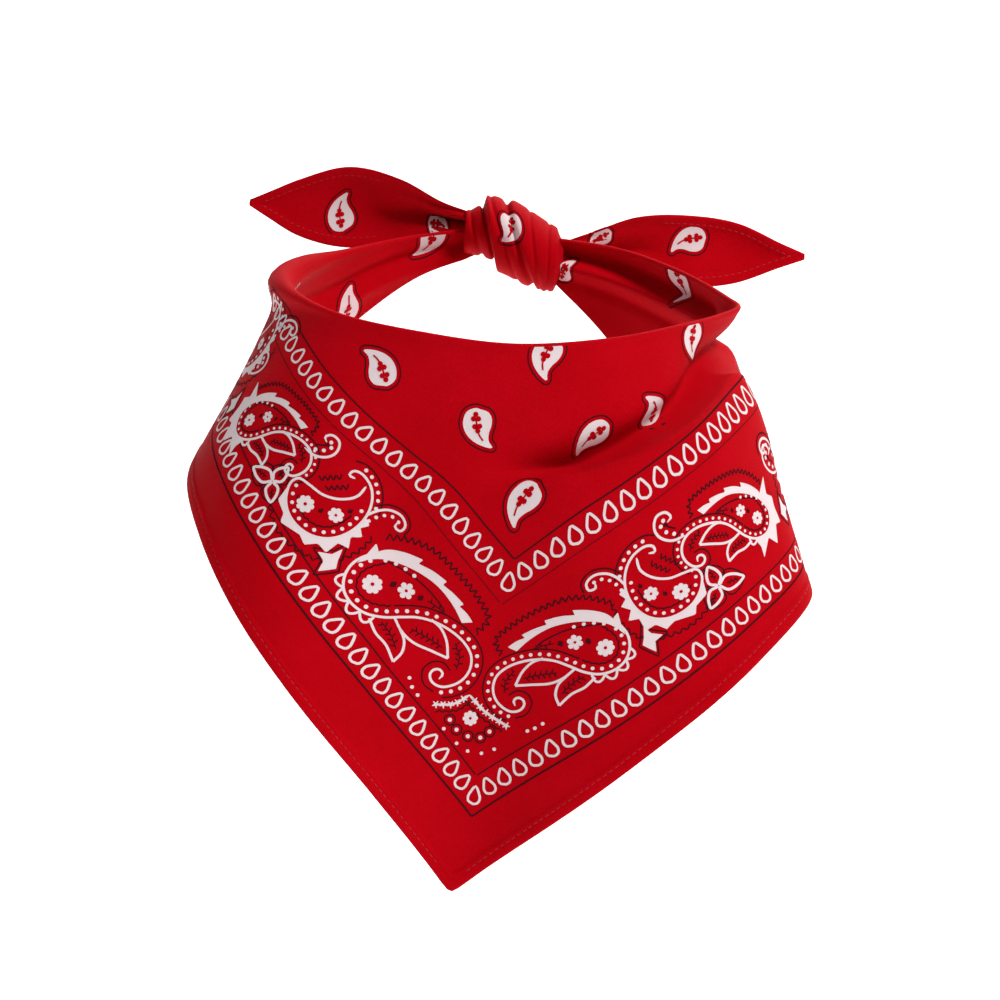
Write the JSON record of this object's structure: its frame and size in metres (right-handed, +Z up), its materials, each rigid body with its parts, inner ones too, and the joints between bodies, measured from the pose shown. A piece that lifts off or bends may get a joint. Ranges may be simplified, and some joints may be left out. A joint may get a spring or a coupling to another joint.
{
  "type": "bandana",
  "caption": "Printed cotton bandana tied behind an open neck, its point hanging in front and two leaf-shaped tails at the knot",
  "frame": {"origin": "middle of the neck opening, level with its top edge at the front", "axes": "+Z up, the wearer faces -Y so the point hangs at -Y and the knot is at +Y, +X to the right as seen from the front"},
  "size_m": [0.221, 0.1761, 0.2244],
  "materials": {
    "cloth": "matte woven cotton, red, with a white and dark maroon print",
    "hem": "turned and stitched edge of the same cotton"
  },
  "bodies": {
    "root": {"front_drape": "cloth", "neck_band_left": "cloth", "neck_band_right": "cloth", "hem_left": "hem", "hem_right": "hem", "knot": "cloth", "tail_left": "cloth", "tail_right": "cloth"}
  },
  "joints": []
}
